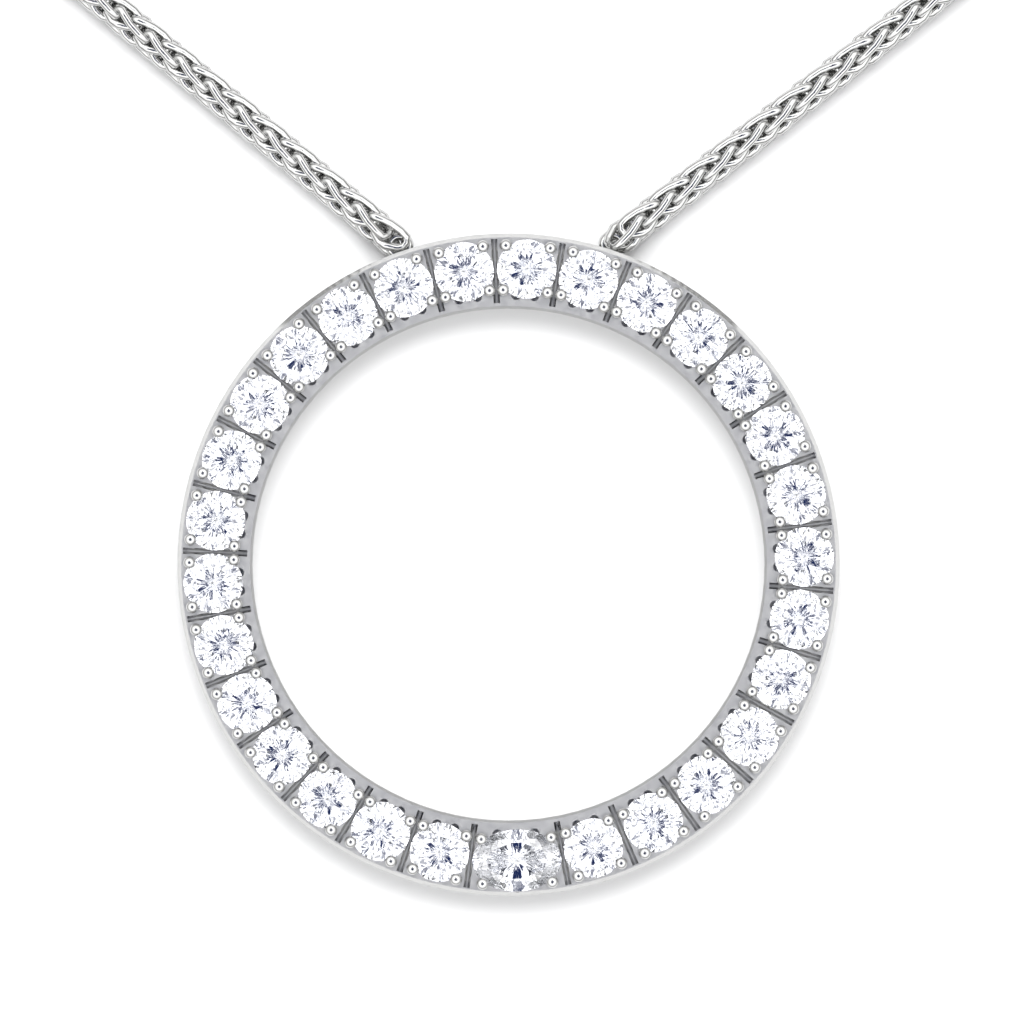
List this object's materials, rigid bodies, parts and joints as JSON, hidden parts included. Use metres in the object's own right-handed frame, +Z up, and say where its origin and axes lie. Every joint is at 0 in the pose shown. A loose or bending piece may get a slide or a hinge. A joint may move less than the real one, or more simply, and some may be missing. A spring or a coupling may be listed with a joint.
{
  "type": "diamond pendant necklace",
  "caption": "Open circle pendant set with diamonds in shared beads, on a wheat chain whose ends pass behind the rim; lies flat on its back as a whole closed necklace.",
  "frame": {"origin": "middle of the whole necklace's footprint, on the surface that it lies on", "axes": "+Z up off the surface, the way the stones look; +Y from the pendant towards the clasp; +X to the right of the pendant seen from its front"},
  "size_m": [0.132, 0.1872, 0.0018],
  "materials": {
    "white_gold": "polished white gold with a rhodium flash",
    "diamond": "polished brilliant-cut diamond"
  },
  "bodies": {
    "root": {"setting": "white_gold", "chain_left": "white_gold", "chain_right": "white_gold", "clasp": "white_gold", "stone_01": "diamond", "stone_02": "diamond", "stone_03": "diamond", "stone_04": "diamond", "stone_05": "diamond", "stone_06": "diamond", "stone_07": "diamond", "stone_08": "diamond", "stone_09": "diamond", "stone_10": "diamond", "stone_11": "diamond", "stone_12": "diamond", "stone_13": "diamond", "stone_14": "diamond", "stone_15": "diamond", "stone_16": "diamond", "stone_17": "diamond", "stone_18": "diamond", "stone_19": "diamond", "stone_20": "diamond", "stone_21": "diamond", "stone_22": "diamond", "stone_23": "diamond", "stone_24": "diamond", "stone_25": "diamond", "stone_26": "diamond", "stone_27": "diamond", "stone_28": "diamond", "oval_stone": "diamond"}
  },
  "joints": []
}
